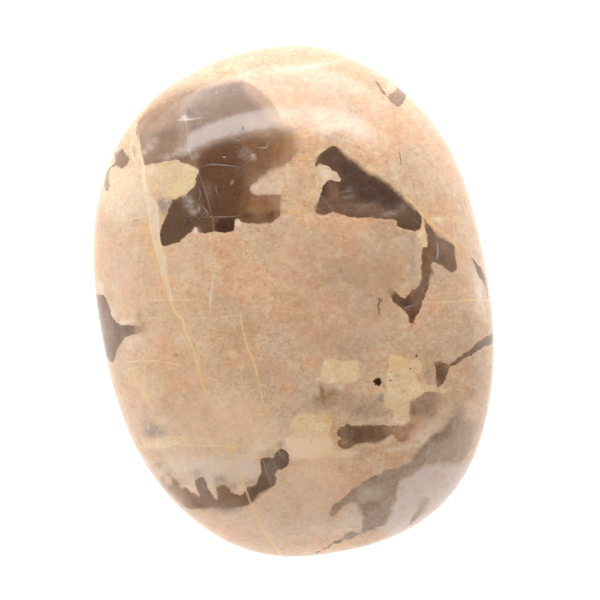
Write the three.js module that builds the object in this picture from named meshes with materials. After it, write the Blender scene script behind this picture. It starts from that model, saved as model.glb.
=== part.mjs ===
// A polished feldspar pebble with smoky quartz in it, in millimetres, +Z up.
// The stone is one piece. It lies on the small flat spot that the grinding left on its underside.
// The origin is the middle of the stone's footprint, at the level of that spot.
// X runs across the stone and Y along it.
import * as THREE from "three";
import { mergeVertices } from "three/addons/utils/BufferGeometryUtils.js";

// Driving dimensions
const LENGTH = 68; // along Y
const WIDTH = 52.2; // along X
const THICKNESS = 26; // along Z, before the flat spot is ground
const OUTLINE_FULLNESS = 2.31; // exponent of the oval seen from above: 2 is an ellipse, more is squarer
const DOME_FULLNESS = 2.25; // exponent of the cross-section: 2 is an ellipse, more has flatter faces
const SPOT_DEPTH = 0.45; // how much of the lower dome the flat spot takes away
const SPOT_EDGE = 0.22; // height over which the polish rounds the spot's edge

// Where grinding by hand left the stone a little proud or flat. Each swell faces a heading in plan,
// in degrees from +X towards +Y, and a tilt above the rim. A negative rise is a flat.
const SWELLS = [
  { heading: 90, tilt: -5, rise: 0.35, spread: 0.3 }, // far end
  { heading: 112, tilt: 20, rise: -0.4, spread: 0.3 }, // beside the far end
  { heading: 150, tilt: 35, rise: 0.35, spread: 0.45 }, // far left shoulder
  { heading: 182, tilt: -15, rise: -0.35, spread: 0.35 }, // left side
  { heading: 225, tilt: 40, rise: -0.25, spread: 0.4 }, // near left shoulder
  { heading: 262, tilt: -30, rise: 0.25, spread: 0.4 }, // near end, under the rim
  { heading: 318, tilt: 30, rise: 0.35, spread: 0.45 }, // near right shoulder
  { heading: 20, tilt: -35, rise: 0.3, spread: 0.45 }, // right side, under the rim
  { heading: 58, tilt: 38, rise: -0.3, spread: 0.35 }, // far right shoulder
  { heading: 29, tilt: 0, rise: 0.33, spread: 0.18 }, // rim, from here on: far right
  { heading: 74, tilt: 0, rise: 0.24, spread: 0.18 }, // far end, to the right
  { heading: 109, tilt: 0, rise: -0.33, spread: 0.18 }, // far end, to the left
  { heading: 226, tilt: 0, rise: -0.21, spread: 0.18 }, // near left
  { heading: 274, tilt: 0, rise: -0.16, spread: 0.18 }, // near end
  { heading: 309, tilt: 0, rise: 0.36, spread: 0.18 }, // near right
];

const SQUARES = 22; // along each side of the six patches that the surface is made from

// How far out a point lies: 1 is on the oval stone, before the swells and the flat spot.
function reach(point) {
  const across = Math.abs(point.x / (WIDTH / 2)) ** OUTLINE_FULLNESS;
  const along = Math.abs(point.y / (LENGTH / 2)) ** OUTLINE_FULLNESS;
  const up = Math.abs(point.z / (THICKNESS / 2)) ** DOME_FULLNESS;
  return ((across + along) ** (DOME_FULLNESS / OUTLINE_FULLNESS) + up) ** (1 / DOME_FULLNESS);
}

// The unit vector of a heading and a tilt in degrees.
function facing(heading, tilt) {
  const polar = THREE.MathUtils.degToRad(90 - tilt);
  const turn = THREE.MathUtils.degToRad(heading);
  return new THREE.Vector3(
    Math.sin(polar) * Math.cos(turn),
    Math.sin(polar) * Math.sin(turn),
    Math.cos(polar),
  );
}

// What the swells add to the distance from the middle, in the direction of a unit vector.
function swell(direction) {
  let rise = 0;
  for (const each of SWELLS) {
    const miss = 1 - direction.dot(facing(each.heading, each.tilt));
    rise += each.rise * Math.exp(-miss / each.spread ** 2);
  }
  return rise;
}

// The larger of two heights, rounded where they cross.
function smoothMax(a, b, blend) {
  const near = Math.max(blend - Math.abs(a - b), 0) / blend;
  return Math.max(a, b) + (near * near * blend) / 4;
}

// The stone's surface in the direction of a unit vector.
function surface(direction) {
  const half = new THREE.Vector3(WIDTH, LENGTH, THICKNESS).divideScalar(2);
  const point = direction.clone().multiply(half);
  point.divideScalar(reach(point));
  point.setLength(point.length() + swell(direction));
  point.z = smoothMax(point.z, SPOT_DEPTH - THICKNESS / 2, SPOT_EDGE);
  return point;
}

// A box whose faces are cut into squares, blown up into a ball and then into the stone.
function pebbleGeometry() {
  const box = new THREE.BoxGeometry(2, 2, 2, SQUARES, SQUARES, SQUARES);
  box.deleteAttribute("normal");
  box.deleteAttribute("uv");
  const stone = mergeVertices(box);
  const place = stone.getAttribute("position");
  const corner = new THREE.Vector3();
  for (let i = 0; i < place.count; i++) {
    corner.fromBufferAttribute(place, i);
    const even = corner.toArray().map((side) => Math.tan((side * Math.PI) / 4));
    const point = surface(new THREE.Vector3(...even).normalize());
    place.setXYZ(i, point.x, point.y, point.z);
  }
  stone.computeBoundingBox();
  const { min, max } = stone.boundingBox;
  stone.translate(-(min.x + max.x) / 2, -(min.y + max.y) / 2, -min.z);
  stone.computeVertexNormals();
  return stone;
}

const feldspar = new THREE.MeshStandardMaterial({
  color: 0xd0b299,
  roughness: 0.22,
  metalness: 0,
});

const pebble = new THREE.Mesh(pebbleGeometry(), feldspar);
pebble.name = "pebble";

const stone = new THREE.Group();
stone.add(pebble);

export default stone;
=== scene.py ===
import math

import bmesh
import bpy
import numpy as np
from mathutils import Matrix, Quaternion, Vector, noise


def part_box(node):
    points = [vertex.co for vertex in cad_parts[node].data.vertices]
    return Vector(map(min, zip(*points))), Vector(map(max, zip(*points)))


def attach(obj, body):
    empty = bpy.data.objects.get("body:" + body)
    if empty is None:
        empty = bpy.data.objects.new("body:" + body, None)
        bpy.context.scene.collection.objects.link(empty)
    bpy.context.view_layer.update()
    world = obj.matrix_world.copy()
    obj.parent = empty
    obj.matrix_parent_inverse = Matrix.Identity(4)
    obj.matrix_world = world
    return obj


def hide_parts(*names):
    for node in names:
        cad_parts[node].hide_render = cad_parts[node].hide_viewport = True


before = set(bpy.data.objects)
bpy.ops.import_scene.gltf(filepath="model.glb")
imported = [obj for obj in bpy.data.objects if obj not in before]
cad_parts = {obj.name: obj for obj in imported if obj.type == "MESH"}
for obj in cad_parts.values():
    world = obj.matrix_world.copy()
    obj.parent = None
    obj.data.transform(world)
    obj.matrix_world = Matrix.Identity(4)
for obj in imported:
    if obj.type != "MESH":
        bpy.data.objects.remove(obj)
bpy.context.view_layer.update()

# A polished pebble of pinkish beige feldspar with smoky quartz grown through it.
# It lies on its back, so its showing face is up. Lengths are in millimetres until the mesh is made.
MM = 0.001

# The stone's shape, as in the model it replaces
LENGTH = 68
WIDTH = 52.2
THICKNESS = 26
OUTLINE_FULLNESS = 2.31
DOME_FULLNESS = 2.25
SPOT_DEPTH = 0.45
SPOT_EDGE = 0.22
SWELLS = [  # heading and tilt in degrees, rise, spread
    (90, -5, 0.35, 0.3),
    (112, 20, -0.4, 0.3),
    (150, 35, 0.35, 0.45),
    (182, -15, -0.35, 0.35),
    (225, 40, -0.25, 0.4),
    (262, -30, 0.25, 0.4),
    (318, 30, 0.35, 0.45),
    (20, -35, 0.3, 0.45),
    (58, 38, -0.3, 0.35),
    (29, 0, 0.33, 0.18),
    (74, 0, 0.24, 0.18),
    (109, 0, -0.33, 0.18),
    (226, 0, -0.21, 0.18),
    (274, 0, -0.16, 0.18),
    (309, 0, 0.36, 0.18),
]
RIM_HEIGHT = THICKNESS / 2 - SPOT_DEPTH  # of the widest outline, over the floor

# How the photograph shows the stone
PHOTO_SIDE = 600  # pixels
PX_PER_MM = 7.464
STONE_MIDDLE = (293.85, 300.7)  # pixels
LEAN = math.radians(9.68)  # of the stone's length, to the left of upright
CAMERA_HEIGHT = 450  # over the rim
SENSOR = 36
CLIP_START = 10  # nothing nearer than this to the lens shows

# How finely the surface is cut
FACE_SQUARES = 144
SIDE_SQUARES = 78
UNDERSIDE = -0.45  # how far down the box's underside lies before it is blown up; its top lies at 1

# Grains of smoky quartz on the face, as outlines in the photograph's pixels
QUARTZ = {
    "upper left": [
        (137, 136), (135.5, 130), (141, 116), (148, 105), (156, 97), (165, 91), (175, 87), (186, 84),
        (198, 82.5), (212, 81), (226, 79), (243, 79.4), (251, 84), (260.5, 89), (268, 95), (274, 104),
        (281, 114), (289, 124), (297, 130), (303, 139), (301.5, 149), (294, 158), (283, 168), (269, 177),
        (259, 182), (251.5, 187.5), (255, 192.5), (266, 194), (280, 194.5), (282, 199), (282, 209),
        (280, 216), (275, 221), (268, 224.5), (252, 224), (245, 223), (240.5, 221), (237.5, 218.5),
        (235.3, 220), (234.5, 230), (231, 232.5), (212, 232.5), (199, 232.5), (196.5, 227), (194, 227),
        (192, 231.5), (188, 234), (182, 240), (174, 244), (163.5, 246), (160.5, 243), (159.5, 235),
        (161, 227), (164, 220), (167, 213), (169.5, 206), (172, 200), (179, 197), (187, 193),
        (192.5, 188), (195, 183), (196, 175.5), (198.5, 171), (193, 167), (188, 164.5), (181, 163),
        (178.5, 160), (167.5, 161), (155, 163.5), (145, 165.5), (141.5, 159), (140, 147),
    ],
    "far left": [
        (114, 163), (115, 155), (118.5, 150), (123, 149), (126.5, 153), (130, 159), (128, 164.5),
        (124.5, 168), (119.5, 169), (117, 166), (112.5, 168), (109.5, 173), (109.2, 180), (109.8, 187),
        (107.4, 192), (104.6, 188), (104.6, 178), (107.4, 169),
    ],
    "boot": [
        (329, 147.3), (336.5, 146), (346, 153.5), (358, 161), (367, 170), (378, 174), (390, 183),
        (401, 193), (408, 199.5), (414, 205), (420, 214), (422, 218), (421.5, 224), (420, 229),
        (416, 231.8), (411, 230.8), (403, 228.8), (397, 225.7), (395.5, 220.5), (381, 219), (365, 217.6),
        (350, 217), (340, 214.5), (331, 212.5), (326, 214.5), (318, 215.5), (313.5, 211), (314, 205),
        (319, 199), (321, 192), (324, 184), (330, 178.5), (336, 181.5), (341, 180.5), (338.5, 175.5),
        (331, 169), (325, 165.5), (320, 165), (317, 168), (314.5, 165), (314, 160), (317, 155),
        (322, 151.5),
    ],
    "hook": [
        (424, 218), (430.5, 226), (439, 234), (448, 240), (454, 245), (456.6, 253), (457.3, 262),
        (457, 269.6), (452, 274), (446, 269), (440, 265.5), (434.5, 262.5), (431.5, 265), (434.5, 272),
        (431.5, 280), (427.5, 290), (423.5, 300), (420.5, 308.5), (416.5, 316.5), (413, 324),
        (409.3, 323.5), (407, 314.5), (402, 308.5), (395, 303.5), (390.5, 298), (386.5, 292),
        (390.5, 288.5), (398, 293), (404, 298), (408, 295), (411.5, 290), (418.5, 285.5), (420.5, 273.5),
        (421.5, 261), (422.3, 248), (427.3, 247), (426.7, 238), (425, 228),
    ],
    "wedge": [
        (431.5, 362), (437.8, 360.3), (445, 362.4), (449, 366.5), (448, 373.7), (445, 381), (441, 387.5),
        (436.8, 387.5), (435.6, 382), (435, 373.5), (435, 366),
    ],
    "mushroom": [
        (410, 401.5), (415, 400), (419.4, 396), (425.5, 392), (432, 391), (440, 392), (445, 396.5),
        (445, 403.5), (441, 410), (439, 416), (435, 423), (427, 429), (414, 428), (409.5, 421),
        (409, 414), (410.2, 408), (409.6, 404),
    ],
    "bar": [
        (337, 434), (338.2, 428.8), (343.3, 424.7), (348.4, 423.8), (352.4, 425.2), (359.6, 424.7),
        (366.7, 423.9), (375, 424.6), (383, 424.4), (391, 425.3), (398, 424.5), (405, 425.5), (409.5, 421),
        (421, 420), (420, 428), (414, 434.5), (409, 440.5), (403, 443), (397, 441), (392.5, 435.5),
        (389, 437), (384, 441.5), (375, 444.8), (366.7, 444.3), (360.6, 443.7), (354.5, 446),
        (348.4, 449.8), (343.3, 449.8), (338.2, 446.2), (336.6, 441), (341.2, 438.2),
    ],
    "lower right": [
        (329.8, 515.3), (330.8, 511), (333.5, 505), (341, 499.5), (347, 494.5), (351.2, 489.5),
        (357.3, 486), (364, 481), (376, 475), (388, 469), (398, 467), (406, 464), (412, 458),
        (416, 450), (423, 444), (428, 438), (433, 432), (440, 428), (445, 421), (450, 413),
        (458, 406), (468, 406), (468, 414), (466, 420), (474, 419), (481, 426), (478, 438),
        (472, 450), (465, 460), (456, 467), (446, 466), (436, 466), (426, 468), (419, 472),
        (413, 477), (404, 482), (399, 489), (398, 498), (394, 507), (394, 514), (389, 521),
        (383, 526), (374, 528), (368.5, 532), (362, 534), (361, 519), (358, 511), (356.3, 504.5),
        (352.2, 503), (346, 506), (340, 510.2), (335, 516.3),
    ],
    "under the lower right": [
        (416, 508), (418, 502), (424, 497), (431, 498), (430, 505), (425, 513), (417, 520), (410, 526),
        (411, 518),
    ],
    "above the lower right": [(467, 390), (473, 387.5), (477, 391), (475, 397), (470, 402), (465.5, 401)],
    "right rim": [
        (486, 422), (481.5, 432), (477, 441), (471.5, 448), (470, 443), (474, 435), (478.5, 427), (483, 421),
    ],
    "left rim": [
        (88, 288), (96, 292.5), (103, 294.5), (108, 302), (110.5, 311), (113, 318), (117, 322.5),
        (123, 325), (131, 324.7), (137, 325.4), (141, 324.2), (143, 319.5), (145.5, 323), (148, 328),
        (146, 334), (139.5, 333.5), (133, 335), (127, 337.5), (123, 341), (119.5, 348), (116.5, 356),
        (112.4, 363), (107.3, 359), (98, 354), (86, 330),
    ],
    "toothed": [
        (162, 474), (167.8, 480.5), (170.4, 482.5), (170.6, 477), (175, 478), (179, 482), (182, 487),
        (187, 487), (191, 490.2), (195, 493.3), (199.3, 496.5), (197, 489), (194.3, 482), (196.5, 478),
        (203.5, 477.5), (206.3, 483), (209.4, 490.2), (213, 495.8), (217.3, 499.2), (216.2, 492.2),
        (216.5, 485), (222.7, 484), (229.8, 488.2), (234, 492.6), (240, 495), (244, 492), (247, 487.5),
        (253, 485), (256.5, 481), (260, 474), (261.2, 467), (260.2, 458.6), (264.7, 457.3),
        (273.5, 457.3), (276, 451.5), (280.5, 448.5), (284.5, 449.5), (289.5, 455.3), (288.3, 463),
        (283, 469.2), (277.5, 470.2), (275, 475.5), (277.5, 478.8), (275, 485), (270, 490),
        (262, 496), (254, 503), (247, 508), (239, 512), (228, 515.5), (218, 515.5), (208, 513.5),
        (200, 512.5), (193, 513), (185, 510), (176, 503), (167, 494), (159, 482),
    ],
    "top right": [
        (374.5, 81.5), (378, 83), (383, 89.5), (387.5, 96), (390, 93.5), (394, 92.2), (396.5, 86.5),
        (394, 82), (388, 78), (390, 76.5), (397, 81), (405, 91), (406, 97), (403, 104), (398, 107),
        (392.5, 104.5), (388.8, 100), (382, 92.8),
    ],
}

# How smoky each grain is: 0 is pale and 1.2 is near black
GRAIN_SMOKE = {
    "upper left": 0.42,
    "far left": 0.34,
    "boot": 0.62,
    "hook": 0.4,
    "wedge": 0.42,
    "mushroom": 0.15,
    "bar": 0.42,
    "lower right": 0.16,
    "under the lower right": 0.12,
    "above the lower right": 0.16,
    "right rim": 0.16,
    "left rim": 0.36,
    "toothed": 0.34,
    "top right": 0.26,
}

# Thin grains of quartz, as strokes: x and y in pixels, and the half width there in millimetres
QUARTZ_STROKES = [
    [(316, 552.5, 0.06), (326.7, 548, 0.12), (334, 542.8, 0.22), (342, 539.8, 0.32), (348.2, 535.6, 0.48),
     (354, 534.5, 0.42), (359.4, 533.7, 0.15), (370.6, 529.6, 0.22), (380, 524.5, 0.26), (389, 518, 0.2)],
    [(497, 335.5, 0.7), (490.8, 339.5, 0.62), (483.7, 342.5, 0.55), (478.6, 346, 0.48),
     (472.4, 351.2, 0.4), (464.3, 355.8, 0.36), (458.2, 360.4, 0.28), (450, 366, 0.18)],
    [(470.5, 254, 0.06), (474, 262, 0.2), (478.5, 269, 0.38), (482.5, 277, 0.42), (486, 286, 0.3),
     (488.3, 298, 0.12)],
]

# Grains of quartz on the underside, as outlines in plan, in millimetres
UNDER_QUARTZ = [
    [(-27, 24), (-20, 30), (-10, 31), (-7, 26), (-11, 20), (-9, 15), (-15, 12), (-19, 16), (-26, 14)],
    [(-29, 6), (-22, 5), (-17, 1), (-19, -5), (-24, -6), (-29, -3)],
    [(-8, 6), (-2, 10), (5, 11), (12, 8), (17, 3), (15, -1), (9, 1), (3, 4), (-3, 3)],
    [(28, 2), (22, 0), (18, -6), (13, -9), (16, -14), (23, -12), (29, -8)],
    [(26, -22), (18, -20), (11, -24), (6, -23), (3, -28), (9, -33), (18, -33), (26, -30)],
    [(-27, -14), (-19, -16), (-14, -21), (-8, -20), (-7, -25), (-14, -29), (-22, -28), (-28, -22)],
    [(14, 31), (17, 24), (12, 20), (15, 16), (21, 18), (26, 24), (22, 32)],
    [(-4, -8), (0, -6), (2, -10), (-2, -13), (-5, -11)],
]

# Blocks of cream feldspar on the face, as outlines in pixels
CREAM = {
    "square": [
        (325, 360.5), (333, 358.2), (342, 361), (358.5, 360.2), (359, 370.5), (356.5, 381),
        (342, 382.5), (328, 382.5), (319, 381), (314.5, 377.8), (320.8, 375.7), (322, 368.6),
    ],
    "orange": [
        (389.3, 354.3), (398, 355.5), (407, 357.3), (421.4, 360.4), (422.4, 370.6), (415.3, 376.7),
        (421.4, 383), (434.7, 385), (437.8, 388.3), (448, 389), (447, 393), (437.8, 393), (429.6, 391.5),
        (421.4, 393.5), (416.3, 398.6), (409.5, 401), (408.6, 411.4), (409.5, 421.8), (394, 421.8),
        (393.9, 411.4), (384, 407.3), (380.6, 401.2), (384, 395), (380.6, 389), (385.7, 385),
        (386.7, 374.7), (389, 366),
    ],
    "pink": [
        (294.3, 415.5), (300.4, 413.2), (320, 414), (327, 414.5), (332, 422.7), (330, 431.8),
        (328, 435.2), (310, 436), (291.2, 437), (290.2, 421.6),
    ],
    "yellow": [
        (283, 441), (291.2, 436.5), (310, 435.5), (328, 435), (331, 440), (331, 449), (343, 450.5),
        (356.5, 451.5), (356, 454.5), (342.2, 457.5), (322, 458.6), (296.3, 458.5), (291.5, 455),
        (289.2, 448.2),
    ],
    "sliver": [
        (420.4, 223.5), (423.7, 224.5), (426.2, 233), (426.8, 247), (421.2, 247.3), (419.2, 241),
        (417, 236), (416, 232.8), (420, 229.5),
    ],
    "over the teeth": [
        (144, 440.5), (153, 439), (170, 437), (187, 435), (189, 439), (176, 444), (164, 447.5),
        (150, 447.5), (143.5, 446),
    ],
}
UNDER_CREAM = [
    [(-3, 20), (1, 21), (2, 17), (-2, 16)],
    [(6, -14), (11, -13), (12, -17), (7, -18)],
    [(-14, 3), (-10, 4), (-9, -1), (-13, -2)],
]

# Soft spots on the face, by what they change there: middle in pixels, radii in millimetres, strength
SPOTS = {
    # Softness of a grain's edge in millimetres, where the quartz thins out under the feldspar
    "quartz_soft": [
        ((295, 140), (2.2, 2.6), 1.0),
        ((272, 174), (2.8, 1.8), 0.8),
        ((166, 98), (4.8, 3.0), 1.3),
        ((205, 86), (4.0, 1.6), 0.8),
        ((236, 80), (3.4, 1.2), 0.5),
        ((268, 95), (2.4, 2.0), 0.5),
        ((284, 116), (1.6, 1.8), 0.7),
        ((260, 190), (2.0, 1.0), 0.6),
        ((283, 208), (0.9, 1.6), 0.6),
        ((266, 226), (2.6, 0.7), 0.35),
        ((314, 207), (1.0, 1.4), 0.45),
        ((316, 158), (1.0, 1.4), 0.25),
        ((442, 404), (1.4, 2.0), 1.0),
        ((428, 424), (2.2, 1.6), 1.0),
        ((414, 434), (1.8, 1.8), 0.9),
        ((386, 440), (2.0, 0.8), 0.35),
        ((372, 423), (5.0, 0.7), 0.2),
        ((360, 447), (3.0, 0.7), 0.25),
        ((436, 361), (1.6, 0.5), 0.35),
        ((433, 375), (0.5, 1.4), 0.25),
        ((471, 395), (1.6, 1.6), 0.8),
        ((458, 410), (2.6, 2.0), 0.9),
        ((440, 426), (2.0, 2.0), 0.5),
        ((476, 432), (1.6, 4.0), 0.9),
        ((440, 466), (4.6, 1.4), 0.9),
        ((404, 486), (1.8, 2.2), 0.8),
        ((393, 512), (1.2, 2.6), 0.7),
        ((424, 506), (2.4, 2.0), 0.7),
        ((418, 450), (1.6, 2.0), 0.4),
        ((361, 512), (1.2, 2.4), 0.5),
        ((166, 482), (1.4, 1.4), 0.6),
        ((170, 502), (3.0, 2.0), 1.2),
        ((205, 512), (4.2, 1.0), 1.2),
        ((237, 512), (3.4, 1.0), 1.0),
        ((262, 494), (2.2, 1.2), 0.5),
        ((197, 478), (0.8, 0.4), 0.2),
        ((218, 485), (0.8, 0.4), 0.3),
        ((233, 491), (0.8, 0.5), 0.25),
        ((146, 329), (1.2, 1.6), 0.7),
        ((118, 350), (0.6, 1.8), 0.25),
        ((96, 291), (1.2, 0.6), 0.4),
        ((389, 292), (1.0, 0.8), 0.8),
        ((431, 278), (0.6, 1.6), 0.5),
        ((420, 275), (0.4, 1.6), 0.15),
        ((455, 273), (1.4, 0.6), 0.3),
        ((457, 255), (0.5, 1.4), 0.2),
        ((479, 435), (1.4, 2.4), 0.5),
        ((486, 286), (1.0, 2.0), 0.25),
        ((101, 357), (2.0, 1.2), 0.4),
        ((122, 158), (1.4, 1.4), 0.2),
        ((440, 236), (2.0, 1.4), 0.4),
    ],
    # How much smokier the quartz is there than the rest of its grain
    "smoke": [
        ((188, 222), (0.6, 0.7), 0.15),
        ((226, 227.5), (0.7, 0.5), 0.2),
        ((246, 216), (1.2, 0.4), 0.2),
        ((272, 214), (1.2, 0.5), 0.12),
        ((190, 112), (0.5, 0.6), 0.2),
        ((162, 136), (2.4, 0.9), 0.14),
        ((184, 158), (1.2, 0.6), 0.15),
        ((331, 153), (1.2, 1.0), 0.1),
        ((318, 158), (0.7, 1.2), -0.14),
        ((322, 186), (0.9, 1.0), 0.14),
        ((317, 207), (0.8, 1.2), -0.2),
        ((398, 200), (1.6, 1.2), 0.1),
        ((408, 217), (1.4, 1.4), -0.1),
        ((442, 257), (0.8, 1.4), 0.12),
        ((430, 253), (0.6, 0.8), -0.14),
        ((406, 303), (1.1, 1.1), 0.3),
        ((396, 296), (1.0, 0.8), 0.1),
        ((414, 312), (0.8, 0.9), 0.15),
        ((343, 436), (0.8, 2.0), -0.06),
        ((411, 318), (0.7, 0.8), 0.08),
        ((433, 272), (0.3, 1.4), -0.15),
        ((441, 376), (0.7, 1.3), 0.12),
        ((446, 367), (0.7, 0.9), -0.16),
        ((436, 362), (1.4, 0.4), -0.2),
        ((414, 412), (0.6, 1.4), 0.12),
        ((362, 431), (2.0, 0.8), 0.06),
        ((345, 443), (1.2, 0.9), -0.2),
        ((402, 434), (1.4, 1.4), -0.14),
        ((418, 430), (1.6, 1.2), -0.2),
        ((370, 443), (2.4, 0.5), -0.12),
        ((283.5, 456), (0.8, 1.0), 0.15),
        ((281, 465), (0.7, 0.7), 0.1),
        ((446, 432), (2.6, 1.2), 0.08),
        ((253, 491), (1.2, 0.8), 0.08),
        ((174, 487), (1.4, 1.2), -0.06),
        ((127, 330), (1.4, 0.6), 0.06),
        ((100, 325), (1.2, 4.0), -0.04),
    ],
    # Where the quartz is amber rather than grey
    "warmth": [
        ((429.5, 251.5), (0.6, 0.8), 1.0),
        ((425, 263), (0.7, 1.6), 0.5),
        ((412, 318), (0.7, 1.1), 1.0),
        ((392, 297), (1.1, 0.9), 0.7),
        ((446, 366), (1.1, 1.3), 0.4),
        ((205, 503), (4.5, 1.0), 0.5),
        ((318, 205), (1.0, 1.4), 0.6),
        ((317, 160), (0.6, 1.0), 0.7),
        ((152, 112), (2.6, 2.8), 0.5),
        ((263, 460), (0.4, 0.5), 0.8),
        ((366, 438), (3.0, 0.8), 0.35),
    ],
    # Milky veils in the quartz, some of them painted highlights and a painted reflection
    "milk_and_highlight": [
        ((189, 203), (0.9, 1.2), 0.7),
        ((184, 196), (0.5, 0.4), 0.8),
        ((194, 212), (0.6, 0.5), 0.9),
        ((199, 208), (0.3, 0.5), 0.7),
        ((349, 190), (1.0, 0.7), 0.15),
        ((349, 197), (1.2, 0.35), 0.35),
        ((388, 214), (1.4, 0.5), 0.35),
        ((272, 470), (2.0, 2.4), 0.3),
        ((283, 456), (0.9, 1.0), 0.25),
        ((184, 118), (0.5, 0.4), 1.6),
        ((366, 207), (2.4, 0.9), 0.2),
        ((402, 208), (1.4, 1.2), 0.25),
        # Partly a painted reflection: this veil and the one at 436, 455 also stand for light shining off the
        # lower right
        ((462, 438), (1.8, 2.6), 0.3),
        ((368, 493), (1.2, 0.7), 0.6),
        ((386, 486), (0.8, 0.8), 0.4),
        ((436, 455), (2.0, 1.2), 0.3),
        ((108, 330), (1.6, 3.4), 0.25),
        ((441, 251), (1.0, 1.4), 0.15),
        ((243, 170), (1.6, 1.0), 0.15),
        ((208, 190), (0.8, 1.6), 0.15),
        # Painted highlights, partly a real haze: the next six spots stand for light shining off the grain
        ((182, 151), (1.6, 1.0), 0.7),
        ((168, 157), (1.4, 0.6), 0.7),
        ((195, 157), (0.8, 0.6), 0.4),
        ((145, 152), (0.5, 0.6), 0.8),
        ((150, 146), (0.5, 0.7), 0.9),
        ((155, 140), (0.5, 0.7), 0.6),
        ((244, 154), (1.0, 1.1), 0.4),
        ((253, 157), (0.5, 0.7), 0.8),
        ((232, 182), (0.3, 0.3), 0.8),
        ((197, 231), (0.4, 0.5), 0.9),
    ],
    # Pale, bleached feldspar, and two painted highlights where the lamp shines off the stone
    "pale": [
        ((215, 466), (6.0, 2.0), 0.3),
        ((175, 466), (3.2, 1.8), 0.35),
        ((250, 470), (1.5, 2.0), 0.35),
        ((189, 489), (1.2, 0.8), 0.5),
        ((212, 484), (0.6, 1.2), 0.5),
        ((240, 487), (1.2, 0.8), 0.5),
        ((240, 178), (0.9, 1.4), 0.2),
        ((402, 240), (2.2, 1.2), 0.2),
        ((404, 286), (1.2, 0.9), 0.3),
        ((326, 172), (0.9, 0.9), 0.6),
        ((370, 421), (4.0, 0.4), 0.4),
        ((400, 423), (1.4, 0.4), 0.6),
        ((386, 441), (1.2, 0.7), 0.5),
        ((405, 447), (3.4, 0.6), 0.5),
        ((422, 437), (1.5, 1.0), 0.6),
        ((433, 426), (1.5, 1.5), 0.4),
        ((479, 292), (0.8, 3.4), 0.9),
        ((113, 313), (0.5, 1.0), 0.7),
        ((126, 322), (1.8, 0.4), 0.8),
        ((101, 287), (0.6, 1.6), 0.6),
        ((129, 345), (1.2, 1.0), 0.4),
        ((238, 223), (0.5, 0.5), 0.8),
        ((195.5, 231), (0.3, 0.5), 0.9),
        ((339, 388), (0.6, 0.5), 0.6),
        ((280, 440), (1.4, 0.5), 0.6),
        ((266, 447), (1.8, 0.8), 0.5),
        ((150, 170), (1.2, 0.8), 0.4),
        # Painted highlights: the next two spots lie on the band where the overhead lamp shines off the stone
        ((330, 128), (3.0, 0.8), 0.5),
        ((395, 170), (0.6, 3.0), 0.3),
        ((440, 219), (1.6, 0.4), 0.7),
        ((400, 84), (0.6, 0.6), 0.8),
        ((390, 88), (0.6, 0.5), 0.9),
        ((310, 66), (5.0, 0.6), 0.6),
        ((306, 447), (3.4, 1.2), 0.6),
    ],
    # Where the feldspar is pinker
    "blush": [
        ((107, 252), (1.6, 3.2), 0.8),
        ((130, 283), (2.0, 3.2), 0.7),
        ((310, 92), (8.0, 1.8), 0.6),
        ((230, 530), (6.0, 2.4), 0.6),
        ((185, 385), (3.5, 5.0), 0.35),
        ((140, 410), (2.5, 4.0), 0.5),
        ((300, 250), (3.5, 3.5), 0.35),
        ((245, 252), (2.6, 2.6), 0.35),
        ((445, 170), (2.0, 3.0), 0.3),
        ((468, 292), (1.4, 3.4), 0.3),
        ((375, 328), (4.0, 1.6), 0.3),
        ((330, 500), (7.0, 3.5), 0.45),
        ((170, 335), (2.6, 1.8), 0.35),
        ((340, 455), (4.0, 1.6), 0.3),
        ((215, 415), (3.5, 3.0), 0.25),
        ((475, 420), (1.6, 3.0), 0.5),
    ],
    # Orange and ochre stains
    "ochre": [
        ((300, 137), (1.1, 0.4), 0.7),
        ((324, 141.3), (0.7, 0.26), 0.8),
        ((303, 158), (1.1, 0.26), 0.9),
        ((290, 137), (1.0, 0.8), 0.5),
        ((310.5, 195), (0.7, 0.5), 0.8),
        ((294.7, 211.7), (1.1, 0.28), 1.2),
        ((376, 160), (0.7, 1.4), 0.35),
        ((144.5, 230), (0.7, 1.1), 0.5),
        ((162, 217), (0.4, 0.8), 0.7),
        ((105.5, 223), (0.5, 0.25), 0.9),
        ((152, 252), (0.45, 0.8), 0.5),
        ((396, 361), (1.2, 0.9), 0.7),
        ((403.5, 360), (0.45, 0.5), 0.8),
        ((447, 391), (0.8, 0.3), 0.5),
        ((389, 124), (0.5, 2.0), 0.45),
        ((342, 545), (1.3, 0.22), 1.1),
        ((460, 249), (0.7, 0.7), 0.6),
        ((126, 306), (0.9, 0.7), 0.7),
        ((372, 391.5), (1.0, 0.3), 0.8),
        ((133, 378), (0.9, 1.2), 0.3),
        ((147, 397), (0.5, 1.5), 0.35),
        ((151, 407), (0.3, 0.5), 0.5),
        ((327, 419), (0.6, 0.9), 0.5),
        ((300, 425), (2.0, 1.2), 0.3),
        ((322, 439), (1.0, 0.6), 0.35),
        ((330, 455), (2.4, 0.5), 0.25),
        ((255, 290), (2.4, 2.0), 0.22),
        ((230.5, 448), (0.4, 0.4), 0.8),
        ((428, 221), (0.8, 1.0), 0.5),
        ((422, 208), (0.5, 1.4), 0.5),
        ((448, 236), (1.2, 0.5), 0.35),
        ((96.5, 285), (0.4, 1.6), 0.5),
        ((95, 245), (1.6, 6.0), 0.35),
        ((506, 340), (1.2, 8.0), 0.2),
        ((147, 232), (0.9, 2.4), 0.45),
        ((154, 258), (0.9, 2.2), 0.5),
        ((165, 290), (0.9, 2.6), 0.35),
        ((139, 387), (1.4, 2.4), 0.2),
        ((199, 372), (1.2, 3.8), 0.25),
        ((256, 370), (0.8, 3.4), 0.2),
        ((306, 446), (3.4, 1.0), 0.25),
    ],
    # Brown and olive stains
    "umber": [
        ((322.5, 394), (0.42, 1.6), 1.2),
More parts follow.
